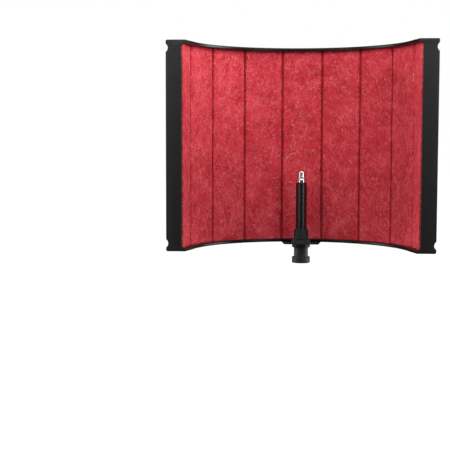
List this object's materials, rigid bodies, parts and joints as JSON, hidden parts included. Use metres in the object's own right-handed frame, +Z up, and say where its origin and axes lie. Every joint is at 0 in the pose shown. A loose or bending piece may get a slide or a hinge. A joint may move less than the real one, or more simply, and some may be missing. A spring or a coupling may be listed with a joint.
{
  "type": "microphone isolation shield",
  "caption": "Half-round acoustic screen of pressed red felt in a black frame, on a slotted bracket and a threaded post for a microphone stand.",
  "frame": {"origin": "on the post's axis, at the underside of the stand adapter, where a microphone stand's thread enters", "axes": "+Z up the post, +Y from the post towards the middle of the screen, +X to the right as seen from the open side"},
  "size_m": [0.416, 0.2113, 0.3589],
  "materials": {
    "red_felt": "mottled pressed polyester felt",
    "charcoal_felt": "pressed polyester felt",
    "foil": "thin rolled foil",
    "rib_plastic": "moulded",
    "frame_plastic": "satin black moulded plastic with polished rims",
    "screw_steel": "blackened steel",
    "bracket_paint": "matte powder coat",
    "bush_nylon": "natural nylon",
    "post_black": "gloss black",
    "bright_steel": "bright nickel plate"
  },
  "bodies": {
    "stand_post": {"stand_adapter": "post_black", "mount_stud": "bright_steel"},
    "slot_slider": {"slot_bush": "bush_nylon"},
    "shield": {"inner_felt_panel": "red_felt", "foil_membrane": "foil", "outer_felt_panel": "charcoal_felt", "spacer_rib_1": "rib_plastic", "spacer_rib_2": "rib_plastic", "spacer_rib_3": "rib_plastic", "spacer_rib_4": "rib_plastic", "spacer_rib_5": "rib_plastic", "spacer_rib_6": "rib_plastic", "spacer_rib_7": "rib_plastic", "spacer_rib_8": "rib_plastic", "top_rail": "frame_plastic", "bottom_rail": "frame_plastic", "right_end_plate": "frame_plastic", "left_end_plate": "frame_plastic", "top_rail_screw_1": "screw_steel", "top_rail_screw_2": "screw_steel", "top_rail_screw_3": "screw_steel", "top_rail_screw_4": "screw_steel", "top_rail_screw_5": "screw_steel", "top_rail_screw_6": "screw_steel", "bottom_rail_screw_1": "screw_steel", "bottom_rail_screw_2": "screw_steel", "bottom_rail_screw_3": "screw_steel", "bottom_rail_screw_4": "screw_steel", "bottom_rail_screw_5": "screw_steel", "bottom_rail_screw_6": "screw_steel", "mount_bracket": "bracket_paint", "bracket_screw_1": "screw_steel", "bracket_screw_2": "screw_steel", "bracket_screw_3": "screw_steel", "bracket_screw_4": "screw_steel"},
    "lock_nut": {"hex_lock_nut": "post_black"},
    "collar": {"collar_washer": "post_black", "clamp_collar": "post_black"},
    "mic_mast": {"mic_tube": "post_black", "thread_spigot": "bright_steel"}
  },
  "joints": [
    {"name": "shield_swivel", "type": "hinge", "parent": "stand_post", "child": "slot_slider", "pos_m": [0, 0, 0.0354], "axis": [0, 0, 1], "continuous": true},
    {"name": "shield_slide", "type": "slide", "parent": "slot_slider", "child": "shield", "axis": [0, 1, 0], "range_m": [-0.004, 0.008]},
    {"name": "lock_nut_spin", "type": "hinge", "parent": "stand_post", "child": "lock_nut", "pos_m": [0, 0, 0.0288], "axis": [0, 0, 1], "continuous": true},
    {"name": "collar_spin", "type": "hinge", "parent": "stand_post", "child": "collar", "pos_m": [0, 0, 0.048], "axis": [0, 0, 1], "continuous": true},
    {"name": "mast_unscrew", "type": "hinge", "parent": "stand_post", "child": "mic_mast", "pos_m": [0, 0, 0.095], "axis": [0, 0, 1], "continuous": true}
  ]
}
